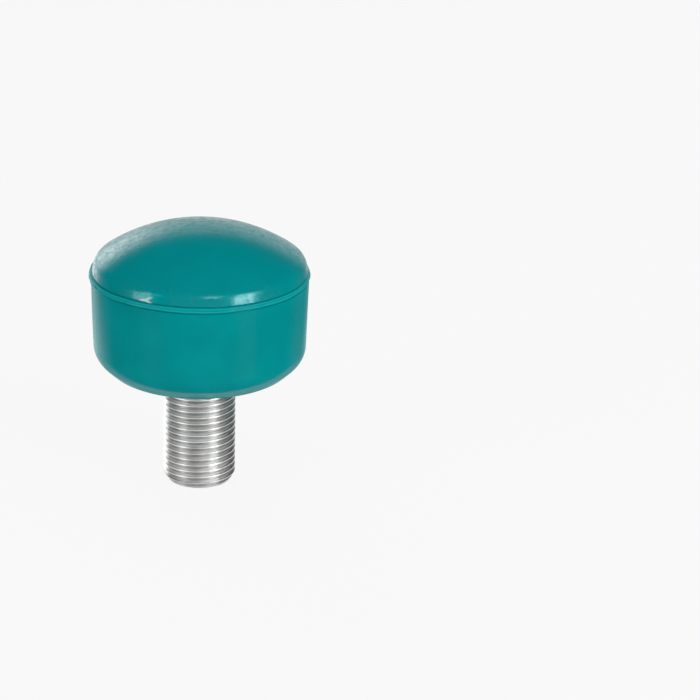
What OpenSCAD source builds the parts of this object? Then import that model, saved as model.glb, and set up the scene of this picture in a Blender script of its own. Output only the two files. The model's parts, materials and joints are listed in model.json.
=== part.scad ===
// Screw-in toe stop for a roller skate. A rubber cushion is moulded round a steel
// anchor plate, which is riveted to the end of a threaded steel stem.
// The stop stands on the end face of its stem: the origin is the centre of that
// face and +Z runs up the stem to the crown of the cushion. Millimetres.

/* [Thread] */
// Outside diameter of the thread
thread_d = 15.875; // [13:0.125:19]
// Thread crests in one inch of stem
threads_per_inch = 18; // [14:1:24]
// Length of stem that stands out of the rubber
stem_length = 26; // [18:0.5:40]
// Width of the chamfer round the end face
end_chamfer_w = 1.1; // [0.5:0.1:2]
// Height of that chamfer along the stem
end_chamfer_h = 1.6; // [0.8:0.1:3]

/* [Stem inside the rubber] */
// Step from the thread out to the plain shank
shoulder_w = 0.3; // [0.2:0.1:1.5]
// Diameter of the spigot that goes through the plate
spigot_d = 12; // [9:0.5:13]
// How far the peened head overlaps the plate all round
rivet_overlap = 1.5; // [1:0.1:2.5]
// Height of the peened head
rivet_h = 2; // [1.2:0.1:3]
// Bevel round the peened head
rivet_bevel = 0.8; // [0.3:0.1:1]

/* [Anchor plate] */
// Diameter of the plate
plate_d = 36; // [32:0.5:40]
// Thickness of the plate
plate_t = 3; // [2:0.25:5]
// Rubber under the plate
plate_cover = 4; // [3:0.25:7]
// Holes that the rubber flows through to lock on
key_hole_count = 6; // [4:1:8]
// Diameter of those holes
key_hole_d = 5; // [3:0.25:6]
// Diameter of the circle that they lie on
key_circle_d = 26; // [23:0.5:28]

/* [Cushion wall] */
// Diameter of the flat underside
underside_d = 38.5; // [34:0.5:42]
// Height of the bevel between underside and wall
bevel_h = 3.75; // [2:0.25:6]
// Diameter at the foot of the wall
wall_foot_d = 46.6; // [44:0.1:50]
// Height of the wall from bevel to bead
wall_h = 17.55; // [12:0.05:26]
// Diameter at the top of the wall
wall_top_d = 47.7; // [44:0.1:50]
// Radius on the two corners of the bevel
bevel_corner_r = 2; // [0.3:0.1:2.5]

/* [Parting bead] */
// Diameter of the bead where the mould halves met
bead_d = 48.4; // [48:0.1:51]
// Height of the bead
bead_h = 1.4; // [1:0.1:2.5]
// Radius on the two corners of the bead
bead_corner_r = 0.35; // [0.1:0.05:0.45]

/* [Crown] */
// Diameter of the crown just above the bead
crown_d = 47.5; // [44:0.1:48]
// Height of the straight lip above the bead, before the crown curves in
crown_lip_h = 1.5; // [0.5:0.1:2]
// Lean of that lip towards the axis, in degrees
crown_lip_lean = 15; // [0:1:20]
// Radius of the curve from lip to crown
crown_shoulder_r = 3; // [2:0.25:5]
// Height of the crown above the bead
crown_h = 10.4; // [8.5:0.1:16]

/* [Hidden] */
$fn = 96;

// The cutters reach this far past what they cut
overcut = 0.5;

// Short straight steps that make one rounded corner of the cushion
round_steps = 6;

// Thread section: 60 degree ridges with flat crests
pitch = 25.4 / threads_per_inch;
flank_angle = 30;
crest_w = pitch / 8;
thread_depth = 0.61343 * pitch;
root_w = pitch - crest_w - 2 * thread_depth * tan(flank_angle);
thread_r = thread_d / 2;
root_r = thread_r - thread_depth;
groove_count = ceil(stem_length / pitch);

// Heights up the stem and the insert
plate_z = stem_length + plate_cover;
plate_top_z = plate_z + plate_t;
rivet_top_z = plate_top_z + rivet_h;
shank_r = thread_r + shoulder_w;
spigot_r = spigot_d / 2;
rivet_r = spigot_r + rivet_overlap;

// Heights up the cushion
wall_z = stem_length + bevel_h;
bead_z = wall_z + wall_h;
lip_z = bead_z + bead_h;
lip_top_z = lip_z + crown_lip_h;
top_z = lip_z + crown_h;

// The lip runs smoothly into the shoulder arc, and that into the crown, one arc centred on the axis
lip_top_x = crown_d / 2 - crown_lip_h * tan(crown_lip_lean);
shoulder_x = lip_top_x - crown_shoulder_r * cos(crown_lip_lean);
shoulder_z = lip_top_z - crown_shoulder_r * sin(crown_lip_lean);
rise = top_z - shoulder_z;
crown_r = (shoulder_x ^ 2 + rise ^ 2 - crown_shoulder_r ^ 2) / (2 * (rise - crown_shoulder_r));
crown_centre_z = top_z - crown_r;

function unit(v) = v / norm(v);

function polar(r, angle) = r * [cos(angle), sin(angle)];

// Points of a round of radius r on the corner at b, on the way from a to c
function rounded(a, b, c, r) =
    let (
        half = acos(unit(a - b) * unit(c - b)) / 2,
        centre = b + unit(unit(a - b) + unit(c - b)) * r / sin(half),
        first = b + unit(a - b) * r / tan(half) - centre,
        last = b + unit(c - b) * r / tan(half) - centre,
        from = atan2(first.y, first.x),
        turn = atan2(last.y, last.x) - from
    )
    [for (i = [0 : round_steps]) centre + polar(r, from + turn * i / round_steps)];

// Underside, bevel and tapered wall, seen on one side of the axis
module wall_section() {
    axis_foot = [0, stem_length];
    underside_edge = [underside_d / 2, stem_length];
    wall_foot = [wall_foot_d / 2, wall_z];
    wall_top = [wall_top_d / 2, bead_z];
    polygon([
        axis_foot,
        each rounded(axis_foot, underside_edge, wall_foot, bevel_corner_r),
        each rounded(underside_edge, wall_foot, wall_top, bevel_corner_r),
        wall_top,
        [0, bead_z]
    ]);
}

// Bead that the mould's parting line leaves, with rounded corners
module bead_section() {
    bead_r = bead_d / 2;
    r = bead_corner_r;
    translate([0, bead_z]) {
        square([bead_r - r, bead_h]);
        translate([0, r]) square([bead_r, bead_h - 2 * r]);
        for (z = [r, bead_h - r]) translate([bead_r - r, z]) circle(r);
    }
}

// Leaning lip and shoulder, cut off above by the crown's circle
module crown_section() {
    shoulder_turn = atan2(shoulder_z - crown_centre_z, shoulder_x) - crown_lip_lean;
    shoulder = [
        for (i = [0 : round_steps])
            [shoulder_x, shoulder_z]
                + polar(crown_shoulder_r, crown_lip_lean + shoulder_turn * i / round_steps)
    ];
    foot = shoulder[round_steps - 1];
    run = shoulder[round_steps] - foot;
    cap_z = top_z + overcut;
    intersection() {
        translate([0, crown_centre_z]) circle(crown_r);
        polygon([
            [0, lip_z],
            [crown_d / 2, lip_z],
            each [for (i = [0 : round_steps - 1]) shoulder[i]],
            foot + run * (cap_z - foot.y) / run.y,
            [0, cap_z]
        ]);
    }
}

// Chamfered end and thread. The topmost crest meets the shank.
module thread_section() {
    difference() {
        polygon([
            [0, 0],
            [thread_r - end_chamfer_w, 0],
            [thread_r, end_chamfer_h],
            [thread_r, stem_length],
            [0, stem_length]
        ]);
        for (i = [0 : groove_count - 1])
            translate([0, stem_length - crest_w / 2 - (i + 0.5) * pitch]) groove_section();
    }
}

// One thread groove, centred on its own height
module groove_section() {
    mouth_w = root_w + 2 * (thread_depth + overcut) * tan(flank_angle);
    polygon([
        [root_r, -root_w / 2],
        [thread_r + overcut, -mouth_w / 2],
        [thread_r + overcut, mouth_w / 2],
        [root_r, root_w / 2]
    ]);
}

// The part of the stem that the rubber and the plate enclose
module stem_head_section() {
    polygon([
        [0, stem_length],
        [shank_r, stem_length],
        [shank_r, plate_z],
        [spigot_r, plate_z],
        [spigot_r, plate_top_z],
        [rivet_r, plate_top_z],
        [rivet_r, rivet_top_z - rivet_bevel],
        [rivet_r - rivet_bevel, rivet_top_z],
        [0, rivet_top_z]
    ]);
}

// Pressed steel disc with its spigot hole and keying holes
module plate_body() {
    translate([0, 0, plate_z]) difference() {
        cylinder(d = plate_d, h = plate_t);
        translate([0, 0, -overcut]) {
            cylinder(d = spigot_d, h = plate_t + 2 * overcut);
            for (i = [0 : key_hole_count - 1])
                rotate(i * 360 / key_hole_count)
                    translate([key_circle_d / 2, 0])
                        cylinder(d = key_hole_d, h = plate_t + 2 * overcut);
        }
    }
}

// Moulded rubber: it fills the keying holes and wraps the plate, shank and peened head
module rubber_cushion() {
    color([0, 0.52, 0.53]) difference() {
        rotate_extrude() {
            wall_section();
            bead_section();
            crown_section();
        }
        plate_body();
        rotate_extrude() stem_head_section();
    }
}

module anchor_plate() {
    color([0.45, 0.46, 0.47]) plate_body();
}

// Zinc plated steel: thread, plain shank, spigot and peened head turned from one bar
module threaded_stem() {
    color([0.75, 0.76, 0.77]) rotate_extrude() {
        thread_section();
        stem_head_section();
    }
}

rubber_cushion();
anchor_plate();
threaded_stem();
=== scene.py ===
import json
from math import acos, atan2, ceil, cos, exp, pi, radians, sin, sqrt, tan, tau

import bmesh
import bpy
from mathutils import Euler, Matrix, Quaternion, Vector


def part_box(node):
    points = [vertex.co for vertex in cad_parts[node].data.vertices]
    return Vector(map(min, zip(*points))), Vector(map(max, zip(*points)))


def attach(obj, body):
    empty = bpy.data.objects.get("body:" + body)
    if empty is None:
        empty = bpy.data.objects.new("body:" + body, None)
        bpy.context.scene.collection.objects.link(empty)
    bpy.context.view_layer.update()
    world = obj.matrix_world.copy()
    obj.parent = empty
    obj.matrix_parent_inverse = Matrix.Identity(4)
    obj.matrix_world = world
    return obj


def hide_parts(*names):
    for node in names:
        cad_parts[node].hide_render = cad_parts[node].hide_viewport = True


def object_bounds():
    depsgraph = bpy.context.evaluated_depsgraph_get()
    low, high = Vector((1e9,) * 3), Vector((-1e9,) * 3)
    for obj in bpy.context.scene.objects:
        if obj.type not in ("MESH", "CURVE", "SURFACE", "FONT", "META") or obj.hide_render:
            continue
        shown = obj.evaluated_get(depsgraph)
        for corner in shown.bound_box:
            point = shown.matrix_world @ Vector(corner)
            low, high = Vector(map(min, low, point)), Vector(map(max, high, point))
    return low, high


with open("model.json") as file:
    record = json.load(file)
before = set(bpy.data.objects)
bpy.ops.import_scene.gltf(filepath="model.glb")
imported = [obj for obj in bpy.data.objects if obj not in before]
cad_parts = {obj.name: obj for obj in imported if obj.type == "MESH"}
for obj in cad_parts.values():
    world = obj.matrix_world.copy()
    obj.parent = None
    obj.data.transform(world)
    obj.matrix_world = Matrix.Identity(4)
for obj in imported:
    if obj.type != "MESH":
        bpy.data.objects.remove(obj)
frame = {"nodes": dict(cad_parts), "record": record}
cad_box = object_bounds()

# Camera. It stands on the -Y side with a long lens and looks down on the stop a little.
# The point of the axis that it is measured from lies left of and above the picture's centre.
picture_px = 700
axis_point = Vector((0, 0, 0.040))
axis_point_px = Vector((200.1, 308.2))
camera_distance = 0.769
camera_elevation = radians(20.46)
camera_roll = radians(0.28)
lens_px = 3501
sensor_mm = 36

camera_data = bpy.data.cameras.new("camera")
camera_data.sensor_width = sensor_mm
camera_data.lens = sensor_mm * lens_px / picture_px
camera_data.clip_start = 0.01
camera_data.clip_end = 50
camera = bpy.data.objects.new("camera", camera_data)
bpy.context.scene.collection.objects.link(camera)
bpy.context.scene.camera = camera

towards_camera = Vector((0, -cos(camera_elevation), sin(camera_elevation)))
level_look = Euler((pi / 2 - camera_elevation, 0, 0)).to_matrix()
right_px = axis_point_px.x - picture_px / 2
up_px = picture_px / 2 - axis_point_px.y
turn = Matrix.Rotation(atan2(right_px, lens_px), 3, "Y")
tilt = Matrix.Rotation(-atan2(up_px, sqrt(lens_px ** 2 + right_px ** 2)), 3, "X")
roll = Matrix.Rotation(camera_roll, 3, "Z")
camera.matrix_world = (level_look @ roll @ tilt @ turn).to_4x4()
camera.location = axis_point + camera_distance * towards_camera


# Threaded stem. A steel stud with a rolled right-hand thread, bright zinc plated, with a
# chamfered end. In the rubber it goes on as a plain shank, a spigot and a peened head.
mm = 0.001
mounts = {mount["name"]: mount for mount in frame["record"]["mounts"]}
thread_r = mounts["stem_thread"]["dims"]["r_mm"]
threads_per_inch = 18
pitch = 25.4 / threads_per_inch
flank_angle = radians(30)
crest_half = pitch / 11
crest_edge_r = 0.04
root_fillet_r = 0.144 * pitch
thread_start = radians(120)
free_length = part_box("rubber_cushion")[0].z / mm
run_in = 0.8
thread_end = free_length + run_in
end_chamfer_w = 1.1
end_chamfer_h = 1.6
end_face_r = thread_r - end_chamfer_w
shank_step = 0.3
shank_r = thread_r + shank_step
plate_cover = 4
shank_end = free_length + plate_cover
plate_t = 3
spigot_r = 6
spigot_end = shank_end + plate_t
rivet_r = 7.5
rivet_bevel = 0.8
rivet_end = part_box("threaded_stem")[1].z / mm
stem_steps = 160
thread_step = 0.15
weld_gap = 0.0005

# Small dents in the crests: turn in degrees, height, length round the stem, depth
nick_h = 0.3
nick_reach = 0.25
thread_nicks = [
    (-84, 20.3, 0.5, 0.10),
    (-52, 17.8, 0.45, 0.14),
    (-97, 10.1, 0.9, 0.09),
    (-70, 8.2, 0.6, 0.12),
    (-128, 14.5, 0.7, 0.10),
    (-31, 11.9, 0.5, 0.12),
    (24, 6.3, 0.8, 0.12),
    (95, 16.4, 0.6, 0.12),
    (150, 9.6, 0.9, 0.10),
    (-160, 21.2, 0.5, 0.12),
]

dull_zinc = (0.57, 0.57, 0.56, 1)
bright_zinc = (0.68, 0.68, 0.68, 1)
root_shade_grey = (0.20, 0.20, 0.19, 1)
end_shade_grey = (0.30, 0.30, 0.29, 1)
relief_h = 0.03


def flat(x, z):
    return Vector((x, z))


def line(start, end, step):
    """Points from start towards end, about a step apart, without the end."""
    count = max(1, round((end - start).length / step))
    return [start.lerp(end, i / count) for i in range(count)]


def rounded(before, corner, after, r, count):
    """Points of a round of radius r on the corner between two neighbours."""
    back = (before - corner).normalized()
    ahead = (after - corner).normalized()
    half = acos(max(-1, min(1, back.dot(ahead)))) / 2
    centre = corner + (back + ahead).normalized() * r / sin(half)
    first = corner + back * r / tan(half) - centre
    last = corner + ahead * r / tan(half) - centre
    turn_to = first.angle_signed(last)
    spin = [Matrix.Rotation(-turn_to * i / count, 2) for i in range(count + 1)]
    return [centre + m @ first for m in spin]


def outline_through(start, corners, step):
    """Points from the start along rounded corners, about a step apart where it is straight."""
    points = [start]
    for corner in corners:
        turn_points = rounded(*corner)
        points += line(points[-1], turn_points[0], step)[1:] + turn_points
    return points


def thread_outline():
    """One pitch of the thread as radius and height, from a crest's middle up to the next."""
    vee_depth = (pitch / 2 - crest_half) / tan(flank_angle)
    crest = flat(thread_r, 0)
    edge = flat(thread_r, crest_half)
    vee = flat(thread_r - vee_depth, pitch / 2)
    next_edge = flat(thread_r, pitch - crest_half)
    next_crest = flat(thread_r, pitch)
    corners = [
        (crest, edge, vee, crest_edge_r, 3),
        (edge, vee, next_edge, root_fillet_r, 8),
        (vee, next_edge, next_crest, crest_edge_r, 3),
    ]
    return outline_through(crest, corners, thread_step)


thread = thread_outline()
root_r = min(point.x for point in thread)


def turned_away(angle, turn_deg):
    """Angle from a place given in degrees, the short way round."""
    return (angle - radians(turn_deg) + pi) % tau - pi


def nick_depth(angle, z):
    """How far the dents lower the crests at this place."""
    depth = 0
    for turn_deg, nick_z, length, nick in thread_nicks:
        away = turned_away(angle, turn_deg)
        spread = (away * thread_r / length) ** 2 + ((z - nick_z) / nick_h) ** 2
        depth += nick * exp(-spread)
    return depth


def stem_point(angle_step, row):
    """A point of the threaded surface. Rows follow the helix, cut off at both ends."""
    angle = tau * angle_step / stem_steps
    turns, step = divmod(row, len(thread))
    r, z = thread[step]
    z += pitch * (turns + (angle + thread_start) / tau)
    if z >= thread_end:
        return shank_r, angle, thread_end
    z = max(z, 0)
    chamfer_r = end_face_r + end_chamfer_w * z / end_chamfer_h
    if r > thread_r - nick_reach:
        r -= nick_depth(angle, z)
    return min(r, chamfer_r), angle, z


def polar(r, angle, z):
    return Vector((r * cos(angle), r * sin(angle), z)) * mm


def make_piece(name, mesh_maker, sharp_angle):
    """A mesh object that is smooth except at edges sharper than the angle."""
    mesh = bpy.data.meshes.new(name)
    shape = bmesh.new()
    mesh_maker(shape)
    bmesh.ops.remove_doubles(shape, verts=shape.verts, dist=weld_gap * mm)
    bmesh.ops.dissolve_degenerate(shape, edges=shape.edges, dist=weld_gap * mm)
    bmesh.ops.recalc_face_normals(shape, faces=shape.faces)
    shape.to_mesh(mesh)
    shape.free()
    mesh.shade_smooth()
    mesh.set_sharp_from_angle(angle=radians(sharp_angle))
    piece = bpy.data.objects.new(name, mesh)
    bpy.context.scene.collection.objects.link(piece)
    return piece


def add_ring(shape, r, z):
    return [shape.verts.new(polar(r, tau * k / stem_steps, z)) for k in range(stem_steps)]


def join_rings(shape, rings):
    """Faces between each ring of points and the next."""
    for lower, upper in zip(rings, rings[1:]):
        count = len(lower)
        for k in range(count):
            after = (k + 1) % count
            shape.faces.new((lower[k], lower[after], upper[after], upper[k]))


def close_ring(shape, ring, z):
    """Faces from a ring to a point on the axis."""
    centre = shape.verts.new((0, 0, z * mm))
    for k in range(len(ring)):
        shape.faces.new((ring[k], ring[(k + 1) % len(ring)], centre))


def stem_mesh(shape):
    last_row = len(thread) * ceil(thread_end / pitch)
    rows = range(-2 * len(thread), last_row + 1)
    grid = {}
    for row in rows:
        for k in range(stem_steps):
            grid[row, k] = shape.verts.new(polar(*stem_point(k, row)))

    def corner(row, k):
        if k < stem_steps:
            return grid[row, k]
        return grid[min(row + len(thread), last_row), 0]

    for row in rows[:-1]:
        for k in range(stem_steps):
            face = [corner(row, k), corner(row, k + 1), corner(row + 1, k + 1), corner(row + 1, k)]
            if len(set(face)) == 4:
                shape.faces.new(face)
    head = [
        (shank_r, thread_end),
        (shank_r, shank_end),
        (spigot_r, shank_end),
        (spigot_r, spigot_end),
        (rivet_r, spigot_end),
        (rivet_r, rivet_end - rivet_bevel),
        (rivet_r - rivet_bevel, rivet_end),
    ]
    head_rings = [add_ring(shape, r, z) for r, z in head]
    join_rings(shape, head_rings)
    close_ring(shape, head_rings[-1], rivet_end)
    end_rings = [add_ring(shape, end_face_r * share, 0) for share in (1, 0.75, 0.5, 0.25)]
    join_rings(shape, end_rings)
    close_ring(shape, end_rings[-1], 0)


def add_node(tree, kind, sockets=(), **settings):
    """Adds a shader node. A socket that is given another node's output is linked to it."""
    node = tree.nodes.new("ShaderNode" + kind)
    for key, value in settings.items():
        setattr(node, key, value)
    for key, value in dict(sockets).items():
        if isinstance(value, bpy.types.NodeSocket):
            tree.links.new(value, node.inputs[key])
        else:
            node.inputs[key].default_value = value
    return node


def start_material(name):
    """A new material with its shader, and the surface point in millimetres."""
    material = bpy.data.materials.new(name)
    material.use_nodes = True
    tree = material.node_tree
    shader = tree.nodes["Principled BSDF"]
    place = add_node(tree, "TexCoord").outputs["Object"]
    scaled = add_node(tree, "VectorMath", {0: place, 3: 1 / mm}, operation="SCALE")
    return material, tree, shader, scaled.outputs[0]


def noise(tree, point, scale, detail=2.0, roughness=0.5):
    """Noise from 0 to 1, with scale in ripples per millimetre."""
    sockets = {"Vector": point, "Scale": scale, "Detail": detail, "Roughness": roughness}
    return add_node(tree, "TexNoise", sockets).outputs[0]


def ramp(tree, value, low, high, from_low=0.0, from_high=1.0):
    """Maps a range of the value to another range, with soft ends."""
    sockets = {0: value, 1: from_low, 2: from_high, 3: low, 4: high}
    return add_node(tree, "MapRange", sockets, interpolation_type="SMOOTHSTEP").outputs[0]


def calc(tree, operation, first, second=0.0):
    return add_node(tree, "Math", {0: first, 1: second}, operation=operation).outputs[0]


def product(tree, first, *others):
    for factor in others:
        first = calc(tree, "MULTIPLY", first, factor)
    return first


def rest_of(tree, share):
    """What a share leaves of 1."""
    return calc(tree, "SUBTRACT", 1.0, share)


def length_of(tree, vector):
    return add_node(tree, "VectorMath", {0: vector}, operation="LENGTH").outputs["Value"]


def mix_colour(tree, factor, first, second):
    sockets = {0: factor, 6: first, 7: second}
    return add_node(tree, "Mix", sockets, data_type="RGBA").outputs[2]


def about_axis(tree, point):
    """Radius, turn and height of a surface point."""
    x, y, z = add_node(tree, "SeparateXYZ", {0: point}).outputs
    across = add_node(tree, "CombineXYZ", {0: x, 1: y}).outputs[0]
    return length_of(tree, across), calc(tree, "ARCTAN2", y, x), z


def drawn_round(tree, radius, turned, z, short_r):
    """A point for noise that is drawn out round the axis, by the radius over a shorter one."""
    sockets = {0: product(tree, turned, short_r), 1: radius, 2: z}
    return add_node(tree, "CombineXYZ", sockets).outputs[0]


def add_relief(tree, shader, strength, height):
    """Fine relief of the surface. It gives back the bumped normal."""
    sockets = {"Strength": strength, "Distance": relief_h * mm, "Height": height}
    bumped = add_node(tree, "Bump", sockets).outputs[0]
    tree.links.new(bumped, shader.inputs["Normal"])
    return bumped


def zinc_plate():
    material, tree, shader, point = start_material("zinc_plated_steel")
    radius, turned, z = about_axis(tree, point)
    rolling_marks = noise(tree, drawn_round(tree, radius, turned, z, 1.6), 2.4, 4.0, 0.6)
    blotches = ramp(tree, noise(tree, point, 0.35, 3.0), 0.0, 1.0, 0.3, 0.7)
    grain = noise(tree, point, 5.0, 2.0)
    zinc = mix_colour(tree, blotches, dull_zinc, bright_zinc)
    # The thread roots are painted darker, mottled by the rolling marks: painted shade in the
    # hollows of the thread.
    in_root = ramp(tree, radius, 1.0, 0.0, root_r, root_r + 0.3)
    past_end = ramp(tree, z, 0.0, 1.0, 0.8 * end_chamfer_h, 1.2 * end_chamfer_h)
    root_shade = product(tree, in_root, past_end, ramp(tree, rolling_marks, 0.28, 0.66, 0.25, 0.75))
    zinc = mix_colour(tree, root_shade, zinc, root_shade_grey)
    # The chamfered end is painted darker in patches: painted shade for the stop's shadow that the
    # end reflects.
    end_shade_patches = ramp(tree, rolling_marks, 0.55, 0.95, 0.3, 0.7)
    zinc = mix_colour(tree, product(tree, rest_of(tree, past_end), end_shade_patches), zinc, end_shade_grey)
    tree.links.new(zinc, shader.inputs["Base Color"])
    shader.inputs["Metallic"].default_value = 1.0
    satin = calc(tree, "ADD", ramp(tree, grain, 0.29, 0.38), product(tree, in_root, 0.1))
    tree.links.new(satin, shader.inputs["Roughness"])
    add_relief(tree, shader, 0.45, calc(tree, "ADD", rolling_marks, product(tree, grain, 0.4)))
    return material


stem = make_piece("threaded_stud", stem_mesh, 50)
stem.data.materials.append(zinc_plate())
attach(stem, "root")
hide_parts("threaded_stem")


# Anchor plate. A pressed steel disc that the stem's spigot is riveted into. The rubber is
# bonded round it and fills its six holes, so none of it shows.
dark_scale = (0.36, 0.37, 0.38, 1)
bare_steel = (0.52, 0.53, 0.54, 1)
grinding_stretch = (0.3, 6.0, 1.0)


def pressed_steel():
    material, tree, shader, point = start_material("pressed_plate_steel")
    mill_scale = noise(tree, point, 0.25, 5.0, 0.6)
    sockets = {0: point, 1: grinding_stretch}
    drawn_out = add_node(tree, "VectorMath", sockets, operation="MULTIPLY")
    scratches = noise(tree, drawn_out.outputs[0], 1.0, 2.0)
    patches = ramp(tree, mill_scale, 0.0, 1.0, 0.35, 0.65)
    steel = mix_colour(tree, patches, dark_scale, bare_steel)
    tree.links.new(steel, shader.inputs["Base Color"])
    shader.inputs["Metallic"].default_value = 1.0
    tree.links.new(ramp(tree, mill_scale, 0.32, 0.52), shader.inputs["Roughness"])
    add_relief(tree, shader, 0.3, scratches)
    return material


plate = frame["nodes"]["anchor_plate"]
plate.data.materials.clear()
plate.data.materials.append(pressed_steel())


# Rubber cushion. One compression moulding of teal rubber: flat underside, bevel, tapered wall,
# the parting line's thin bead of flash with a groove above it, and a domed crown.
neck_gap = 0.02
neck_r = thread_r + neck_gap
neck_edge_r = 0.25
underside_r = 19.25
bevel_h = 3.75
bevel_corner_r = 3.2
foot_corner_r = 5.0
wall_foot_r = 23.3
wall_foot_z = free_length + bevel_h
wall_top_r = 23.85
wall_edge_r = 0.06
nook_h = 0.25
nook_depth = 0.1
nook_edge_r = 0.05
fin_r = 24.25
fin_z = 47.95
fin_edge_r = 0.11
bead_z = 47.6
bead_r = 24.1
bead_h = 1.05
bead_top = bead_z + bead_h
bead_lean = 0.06
bead_side_r = 0.15
bead_top_r = 0.18
groove_r = 23.2
groove_z = 48.77
groove_edge_r = 0.05
lip_r = 23.68
lip_z = 48.92
lip_h = 1.5
lip_slope = radians(15)
lip_foot_r = 0.25
shoulder_r = 3.0
top_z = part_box("rubber_cushion")[1].z / mm
plate_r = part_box("anchor_plate")[1].x / mm
cushion_steps = 600
cushion_step = 0.7
lip_step = 0.1


def arc(centre, r, start, end, count):
    angles = [start + (end - start) * i / count for i in range(count + 1)]
    return [centre + r * flat(cos(a), sin(a)) for a in angles]


def cushion_outline():
    """Outside of the cushion on one side of the axis, from the stem up to the crown."""
    neck_top = flat(neck_r, thread_end)
    neck = flat(neck_r, free_length)
    underside = flat(underside_r, free_length)
    foot = flat(wall_foot_r, wall_foot_z)
    wall_top = flat(wall_top_r, bead_z - nook_h)
    nook = flat(wall_top_r - nook_depth, bead_z)
    fin = flat(fin_r, fin_z)
    bead_side = flat(bead_r, 0.5 * (fin_z + bead_top))
    bead_edge = flat(bead_r - bead_lean, bead_top)
    groove = flat(groove_r, groove_z)
    lip = flat(lip_r, lip_z)
    lip_top = lip + flat(-lip_h * tan(lip_slope), lip_h)
    corners = [
        (neck_top, neck, underside, neck_edge_r, 4),
        (neck, underside, foot, bevel_corner_r, 10),
        (underside, foot, wall_top, foot_corner_r, 12),
        (foot, wall_top, nook, wall_edge_r, 3),
        (wall_top, nook, fin, nook_edge_r, 3),
        (nook, fin, bead_side, fin_edge_r, 5),
        (fin, bead_side, bead_edge, bead_side_r, 4),
        (bead_side, bead_edge, groove, bead_top_r, 6),
        (bead_edge, groove, lip, groove_edge_r, 4),
        (groove, lip, lip_top, lip_foot_r, 6),
    ]
    points = outline_through(neck_top, corners, cushion_step)
    points += line(points[-1], lip_top, lip_step)[1:]
    shoulder = lip_top - shoulder_r * flat(cos(lip_slope), sin(lip_slope))
    rise = top_z - shoulder.y
    crown_r = (shoulder.x ** 2 + rise ** 2 - shoulder_r ** 2) / (2 * (rise - shoulder_r))
    crown = flat(0, top_z - crown_r)
    meet = atan2(shoulder.y - crown.y, shoulder.x)
    points += arc(shoulder, shoulder_r, lip_slope, meet, 16)
    points += arc(crown, crown_r, meet, pi / 2, 40)[1:-1]
    return points


def ripple(angle, waves):
    """Sum of waves round the cushion, each given as count, shift and height."""
    return sum(height * sin(count * angle + shift) for count, shift, height in waves)


def bumps(angle, r, places):
    """Sum of single bumps round the cushion, each given as turn in degrees, length and height."""
    total = 0
    for turn_deg, length, height in places:
        total += height * exp(-((turned_away(angle, turn_deg) * r / length) ** 2))
    return total


# Unevenness of the flash: its reach, its drift up and down, and the wall's swell
bead_swell = [(1, -1.57, 0.17), (5, 1.9, 0.03), (13, 0.8, 0.03), (29, 2.6, 0.025), (47, 0.3, 0.02)]
bead_drift = [(1, 2.2, 0.05), (3, 0.5, 0.05), (7, 1.1, 0.03), (17, 2.9, 0.02), (31, 0.7, 0.012)]
bead_reach = 0.8
bead_margin = 0.05
wall_swell = [(2, 1.0, 0.04), (3, 2.4, 0.03), (7, 0.2, 0.01)]
swell_twist = 0.02

# Tears in the flash where it was pulled off the mould, and places where it hangs lower
bead_tears = [
    (-54, 1.0, 0.14),
    (-120, 0.8, 0.10),
    (-28, 0.7, 0.16),
    (35, 1.6, 0.20),
    (110, 1.1, 0.16),
    (146, 2.0, 0.14),
]
bead_dips = [(-160, 7.5, 0.38), (166, 12.0, -0.1)]
bead_sags = [(-90, 6.0, 0.22), (-40, 4.0, 0.1), (60, 7.0, 0.18), (140, 5.0, 0.15)]

# Shallow dents from handling: turn in degrees, height, length, height of the dent, depth
crown_dents = [
    (-120.4, 50.15, 0.50, 0.22, 0.025),
    (-118.0, 50.05, 0.40, 0.20, 0.030),
    (-116.4, 50.30, 0.35, 0.25, 0.020),
    (-66.5, 50.00, 0.60, 0.15, 0.012),
    (-64.0, 50.35, 0.70, 0.12, 0.012),
    (140.0, 50.10, 0.50, 0.25, 0.025),
]

# Torn slivers of flash left on the crown's foot: turn in degrees, height, length, slant
sliver_w = 0.22
sliver_rise = 0.06
sliver_fullness = 1.6
torn_slivers = [
    (-121.6, 49.34, 0.70, radians(4)),
    (-118.4, 49.72, 0.80, radians(24)),
    (-117.9, 49.14, 0.95, radians(-22)),
    (52.0, 49.45, 0.60, radians(12)),
    (57.0, 49.70, 0.40, radians(-15)),
]


def torn(angle, z):
    """How much of a torn sliver stands at this place of the crown's foot, from 0 to 1."""
    total = 0
    for turn_deg, sliver_z, length, slant in torn_slivers:
        u = lip_r * turned_away(angle, turn_deg)
        v = z - sliver_z
        along = u * cos(slant) + v * sin(slant)
        across = v * cos(slant) - u * sin(slant)
        total += exp(-((along / length) ** 2) - (across / sliver_w) ** 2)
    return min(sliver_fullness * total, 1)


def held(value):
    """The value, kept between 0 and 1."""
    return max(0, min(1, value))


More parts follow.
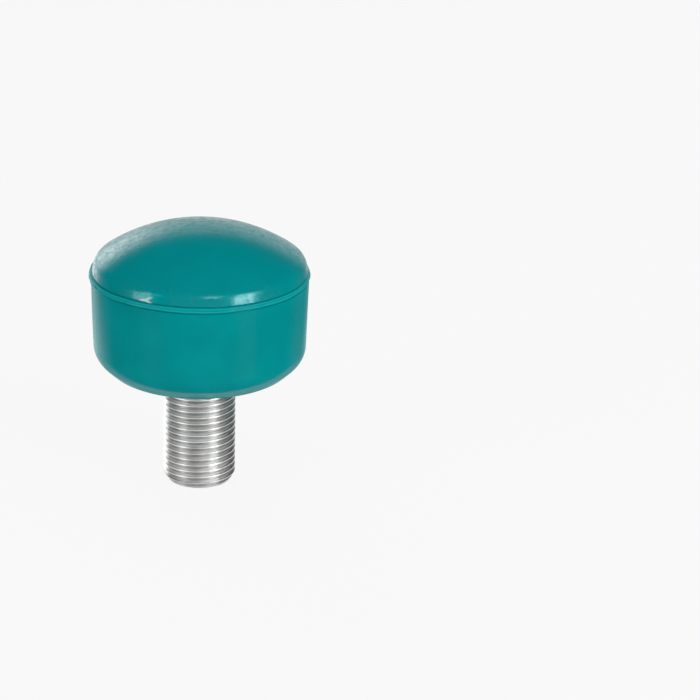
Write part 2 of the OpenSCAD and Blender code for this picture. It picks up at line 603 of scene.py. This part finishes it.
def moulded(point, angle):
    """A point of the outline with the small unevenness of the moulding."""
    r, z = point
    near_bead = exp(-((z - bead_z - 0.5 * bead_h) / bead_reach) ** 2)
    near_groove = exp(-((z - groove_z) ** 2))
    low = held((bead_top - z) / bead_h) * near_bead
    if bead_z - bead_margin < z < bead_top + bead_margin:
        proud = held((r - wall_top_r) / (bead_r - wall_top_r))
        r += proud * (ripple(angle, bead_swell) - bumps(angle, bead_r, bead_tears))
    if lip_z < z < lip_z + lip_h:
        r += sliver_rise * torn(angle, z)
        for turn_deg, dent_z, length, dent_h, depth in crown_dents:
            dent = bumps(angle, lip_r, [(turn_deg, length, depth)])
            r -= dent * exp(-(((z - dent_z) / dent_h) ** 2))
    if wall_foot_z < z < bead_z:
        up_wall = (z - wall_foot_z) / (bead_z - wall_foot_z)
        r += ripple(angle + swell_twist * z, wall_swell) * sin(pi * up_wall)
    z += near_bead * ripple(angle, bead_drift) - low * bumps(angle, bead_r, bead_sags)
    z -= near_groove * bumps(angle, bead_r, bead_dips)
    return polar(r, angle, z)


# Bands of the outline with painted highlights on the bead's top edge and fin, and a band of
# painted shade in the nook under the fin
edge_highlight_w = 0.25
edge_highlight_h = 0.3
edge_highlight_tone = 0.6
fin_band_h = 0.12
fin_highlight_tone = 0.8
nook_top_z = fin_z - 0.08
nook_shade_tone = -0.4


def highlight_and_shade_tone(point):
    """Above 0 on the bead's top edge and fin, which get painted highlights; below 0 in the nook
    under it, which gets painted shade.
    """
    r, z = point
    if r > bead_r - edge_highlight_w and z > bead_top - edge_highlight_h:
        return edge_highlight_tone
    if r > bead_r and abs(z - fin_z) < fin_band_h:
        return fin_highlight_tone
    if bead_z - nook_h < z < nook_top_z:
        return nook_shade_tone
    return 0


def cushion_mesh(shape):
    angles = [tau * k / cushion_steps for k in range(cushion_steps)]
    tone = shape.verts.layers.float.new("highlight_and_shade_tone")
    rings = []
    for point in cushion_outline():
        ring = [shape.verts.new(moulded(point, a)) for a in angles]
        for vertex in ring:
            vertex[tone] = highlight_and_shade_tone(point)
        rings.append(ring)
    inside = [
        (neck_r, thread_end),
        (shank_r, thread_end),
        (shank_r, shank_end),
        (plate_r, shank_end),
        (plate_r, spigot_end),
        (rivet_r, spigot_end),
        (rivet_r, rivet_end - rivet_bevel),
        (rivet_r - rivet_bevel, rivet_end),
    ]
    hollow = [[shape.verts.new(polar(r, a, z)) for a in angles] for r, z in inside]
    join_rings(shape, rings)
    join_rings(shape, hollow)
    close_ring(shape, rings[-1], top_z)
    close_ring(shape, hollow[-1], rivet_end)


deep_teal = (0.0, 0.280, 0.296, 1)
clear_teal = (0.0, 0.316, 0.333, 1)
bead_lit_teal = (0.0, 0.312, 0.328, 1)
edge_highlight_teal = (0.01, 0.46, 0.47, 1)
nook_shade_teal = (0.0, 0.10, 0.107, 1)
crown_shaded_teal = (0.0, 0.274, 0.300, 1)
torn_pale_and_glint = (0.90, 0.96, 0.95, 1)
dust_pale = (0.20, 0.42, 0.43, 1)
cyan_gleam = (0.0, 1.0, 1.0, 1)
gleam_roughness = 0.17
gleam_ior = 1.6

# How far round the front the crown's foot gleams, and the dull place beside the torn slivers
front_y = (-18.5, -15.0)
dull_start = (radians(-118.5), radians(-115.5))
dull_end = (radians(-108), radians(-104))


def vertex_value(tree, name):
    return add_node(tree, "Attribute", attribute_name=name).outputs["Fac"]


def teal_rubber():
    material, tree, shader, point = start_material("moulded_teal_rubber")
    radius, turned, z = about_axis(tree, point)
    clouds = ramp(tree, noise(tree, point, 0.09, 3.0), 0.0, 1.0, 0.3, 0.7)
    grain = noise(tree, point, 3.2, 3.0, 0.6)
    pebble = noise(tree, point, 0.9, 2.0)
    teal = mix_colour(tree, clouds, deep_teal, clear_teal)
    # The bead is painted a little lighter: a painted highlight for the extra light its
    # upward-facing side catches.
    on_bead = ramp(tree, radius, 0.0, 0.4, wall_top_r + 0.05, bead_r)
    teal = mix_colour(tree, on_bead, teal, bead_lit_teal)
    # Painted highlights on the bead's top edge and fin, and painted shade in the nook under the
    # fin
    tone = vertex_value(tree, "highlight_and_shade_tone")
    teal = mix_colour(tree, calc(tree, "MAXIMUM", tone, 0.0), teal, edge_highlight_teal)
    nook_shade = calc(tree, "MAXIMUM", product(tree, tone, -1.0), 0.0)
    teal = mix_colour(tree, nook_shade, teal, nook_shade_teal)
    # The torn slivers are painted near white: partly pale torn rubber, partly a painted glint of
    # the lamp on the left.
    teal = mix_colour(tree, vertex_value(tree, "torn"), teal, torn_pale_and_glint)
    dust = add_node(tree, "TexVoronoi", {"Vector": point, "Scale": 0.22}).outputs["Distance"]
    speck = ramp(tree, dust, 0.35, 0.0, 0.010, 0.022)
    teal = mix_colour(tree, speck, teal, dust_pale)

    # The crown's half of the mould is polished, and handling has left fine scuffs in it
    on_crown = ramp(tree, z, 0.0, 1.0, bead_top, lip_z + 0.3)
    # The crown is painted half way to a darker teal: painted shade for the lesser light it gets
    # than the wall.
    teal = mix_colour(tree, product(tree, on_crown, 0.5), teal, crown_shaded_teal)
    tree.links.new(teal, shader.inputs["Base Color"])
    uneven = ramp(tree, pebble, 0.46, 0.56, 0.3, 0.7)
    matt = calc(tree, "SUBTRACT", uneven, product(tree, on_crown, 0.26))
    tree.links.new(matt, shader.inputs["Roughness"])
    strokes = noise(tree, drawn_round(tree, radius, turned, z, 4.0), 1.1, 3.0, 0.6)
    off_stroke = calc(tree, "ABSOLUTE", calc(tree, "SUBTRACT", strokes, 0.5))
    scuff = ramp(tree, off_stroke, 1.0, 0.0, 0.008, 0.045)
    scuff_patch = ramp(tree, noise(tree, point, 0.14, 2.0), 0.0, 1.0, 0.42, 0.56)
    scuffs = product(tree, scuff, scuff_patch, on_crown)
    rubbed = noise(tree, point, 0.75, 4.0, 0.75)

    # The front of the crown's foot gleams, except for a dull place beside the torn slivers
    across_y = add_node(tree, "SeparateXYZ", {0: point}).outputs[1]
    on_front = ramp(tree, across_y, 1.0, 0.0, *front_y)
    dull_from = ramp(tree, turned, 0.0, 1.0, *dull_start)
    dull = product(tree, dull_from, ramp(tree, turned, 1.0, 0.0, *dull_end))
    near_foot = ramp(tree, z, 0.9, 0.0, lip_z + 1.9, lip_z + 3.0)
    mottled = ramp(tree, rubbed, 0.35, 1.25, 0.36, 0.64)
    foot_gloss = product(tree, near_foot, on_front, rest_of(tree, dull), mottled)
    broad_foot = ramp(tree, z, 0.5, 0.0, lip_z + 2.2, lip_z + 4.0)
    shader.inputs["Specular IOR Level"].default_value = 0.0
    shader.inputs["Specular Tint"].default_value = cyan_gleam
    broad_gloss = product(tree, on_crown, broad_foot, on_front)
    tree.links.new(broad_gloss, shader.inputs["Specular IOR Level"])

    # A thin bloom on the rubber shows as haze where the surface is seen at a glance
    facing_away = add_node(tree, "LayerWeight", {"Blend": 0.5}).outputs["Facing"]
    haze = ramp(tree, facing_away, 0.06, 1.0, 0.42, 0.62)
    haze = product(tree, haze, ramp(tree, rubbed, 0.62, 1.08, 0.35, 0.65))
    unscuffed = rest_of(tree, product(tree, scuffs, 0.4))
    crown_gloss = product(tree, calc(tree, "MAXIMUM", foot_gloss, haze), unscuffed)
    wall_gloss = ramp(tree, facing_away, 0.05, 0.5, 0.45, 0.64)
    wall_gloss = product(tree, wall_gloss, ramp(tree, facing_away, 1.0, 0.6, 0.60, 0.76))
    wall_gloss = product(tree, rest_of(tree, on_crown), wall_gloss)
    gloss = calc(tree, "ADD", product(tree, on_crown, crown_gloss), wall_gloss)
    tree.links.new(gloss, shader.inputs["Coat Weight"])
    shader.inputs["Coat Roughness"].default_value = gleam_roughness
    shader.inputs["Coat IOR"].default_value = gleam_ior
    height = calc(tree, "ADD", product(tree, grain, 0.5), pebble)
    height = calc(tree, "SUBTRACT", height, product(tree, scuffs, 1.1))
    bumped = add_relief(tree, shader, 0.22, height)
    tree.links.new(bumped, shader.inputs["Coat Normal"])
    return material


cushion = make_piece("cushion_moulding", cushion_mesh, 40)
# Mask of the torn slivers, which the rubber paints near white, partly as pale torn rubber and
# partly as a painted glint
torn_and_glint_marks = cushion.data.attributes.new("torn", "FLOAT", "POINT")
for vertex, mark in zip(cushion.data.vertices, torn_and_glint_marks.data):
    x, y, z = vertex.co / mm
    mark.value = torn(atan2(y, x), z) if lip_z < z < lip_z + lip_h else 0
cushion.data.materials.append(teal_rubber())
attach(cushion, "root")
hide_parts("rubber_cushion")


# Studio. A pale floor under the stem's end, two tall softboxes and a smaller strip in front,
# and a room that is brightest behind the stop, at a lamp on the left, and dimmer on the right.
floor_half = 3.0
floor_pale = (0.80, 0.80, 0.80, 1)
card_white = (0.985, 0.985, 0.985, 1)
sheen_pale = (0.9, 0.9, 0.9, 1)
card_r = 85
card_share = 0.9
lamp_distance = 1.2

floor_mesh = bpy.data.meshes.new("floor")
floor_shape = bmesh.new()
bmesh.ops.create_grid(floor_shape, x_segments=1, y_segments=1, size=floor_half)
floor_shape.to_mesh(floor_mesh)
floor_shape.free()
studio_floor = bpy.data.objects.new("floor", floor_mesh)
studio_floor.location.z = cad_box[0].z
bpy.context.scene.collection.objects.link(studio_floor)

# The floor looks white, and in reflections it is a white card that dims away from the stem
pale, pale_tree, pale_shader, pale_point = start_material("pale_floor")
pale_shader.inputs["Base Color"].default_value = floor_pale
pale_shader.inputs["Roughness"].default_value = 0.9
pale_shader.inputs["Specular IOR Level"].default_value = 0.0
path = add_node(pale_tree, "LightPath")
in_camera = path.outputs["Is Camera Ray"]
mirrored = path.outputs["Is Glossy Ray"]
floor_x = add_node(pale_tree, "SeparateXYZ", {0: pale_point}).outputs[0]
card = product(
    pale_tree,
    ramp(pale_tree, length_of(pale_tree, pale_point), 1.0, 0.1, card_r, 1.5 * card_r),
    ramp(pale_tree, calc(pale_tree, "ABSOLUTE", floor_x), 1.0, 0.9, 8.0, 45.0),
    ramp(pale_tree, floor_x, 1.0, 0.15, 45.0, 85.0),
)
level = calc(pale_tree, "MAXIMUM", in_camera, card)
even = add_node(pale_tree, "Emission", {"Color": card_white, "Strength": level}).outputs[0]
sheen = add_node(pale_tree, "BsdfGlossy", {"Color": sheen_pale, "Roughness": 0.15}).outputs[0]
shiny = add_node(pale_tree, "AddShader", {0: even, 1: sheen}).outputs[0]
shown = add_node(pale_tree, "MixShader", {0: mirrored, 1: even, 2: shiny}).outputs[0]
blend = product(pale_tree, calc(pale_tree, "MAXIMUM", in_camera, mirrored), card_share)
sockets = {0: blend, 1: pale_shader.outputs[0], 2: shown}
mixed = add_node(pale_tree, "MixShader", sockets).outputs[0]
pale_tree.links.new(mixed, pale_tree.nodes["Material Output"].inputs["Surface"])
studio_floor.data.materials.append(pale)


def softbox(name, azimuth, elevation, width, height, brightness, lean=0):
    """A lamp panel that faces the stop; azimuth is from the camera's side, to the right."""
    a = radians(azimuth)
    e = radians(elevation)
    out = Vector((sin(a) * cos(e), -cos(a) * cos(e), sin(e)))
    lamp = bpy.data.lights.new(name, "AREA")
    lamp.shape = "RECTANGLE"
    lamp.size = width
    lamp.size_y = height
    lamp.energy = brightness * pi * width * height
    panel = bpy.data.objects.new(name, lamp)
    panel.location = axis_point + lamp_distance * out
    panel.rotation_mode = "QUATERNION"
    leaning = Quaternion((0, 0, 1), radians(lean))
    panel.rotation_quaternion = (-out).to_track_quat("-Z", "Y") @ leaning
    bpy.context.scene.collection.objects.link(panel)


softbox("left_softbox", -57, 14, width=0.41, height=0.75, brightness=2.8, lean=-34)
softbox("right_softbox", 49, 16, width=0.45, height=0.78, brightness=5.3, lean=-18)
softbox("front_strip", 14, 32, width=0.34, height=0.42, brightness=2.0)

world = bpy.data.worlds.new("studio")
bpy.context.scene.world = world
world.use_nodes = True
sky = world.node_tree
direction = add_node(sky, "TexCoord").outputs["Generated"]
upward = add_node(sky, "SeparateXYZ", {0: direction}).outputs[2]


def level_axis(azimuth):
    return Vector((sin(radians(azimuth)), -cos(radians(azimuth)), 0))


def along_axis(axis):
    sockets = {0: direction, 1: axis}
    return add_node(sky, "VectorMath", sockets, operation="DOT_PRODUCT").outputs["Value"]


# A white backdrop behind the stop, brightest at a lamp low on its left
backdrop_az = -170
glow_az = -153
glow_elevation = radians(12)
dim_side_az = 105
aside = along_axis(level_axis(backdrop_az + 90))
off_middle = add_node(sky, "CombineXYZ", {0: aside, 1: product(sky, upward, 1.2)}).outputs[0]
is_behind = calc(sky, "GREATER_THAN", along_axis(level_axis(backdrop_az)), 0.0)
backdrop = product(sky, is_behind, ramp(sky, length_of(sky, off_middle), 0.72, 0.0, 0.52, 0.81))
glow_axis = level_axis(glow_az) * cos(glow_elevation) + Vector((0, 0, sin(glow_elevation)))
off_glow = calc(sky, "ARCCOSINE", calc(sky, "MINIMUM", along_axis(glow_axis), 1.0))
glow = ramp(sky, off_glow, 1.8, 0.0, radians(3), radians(24))

# Even light from above, dimmer from the right, and much dimmer in reflections
glossy_ray = add_node(sky, "LightPath").outputs["Is Glossy Ray"]
overhead = product(
    sky,
    ramp(sky, upward, 0.40, 0.62, 0.65, 0.92),
    ramp(sky, glossy_ray, 1.0, 0.2),
    ramp(sky, along_axis(level_axis(dim_side_az)), 1.0, 0.7, 0.0, 0.8),
)
brightness = calc(sky, "ADD", calc(sky, "ADD", overhead, backdrop), glow)
background = sky.nodes["Background"]
background.inputs["Color"].default_value = (1, 1, 1, 1)
sky.links.new(brightness, background.inputs["Strength"])

bpy.context.scene.view_settings.view_transform = "Standard"
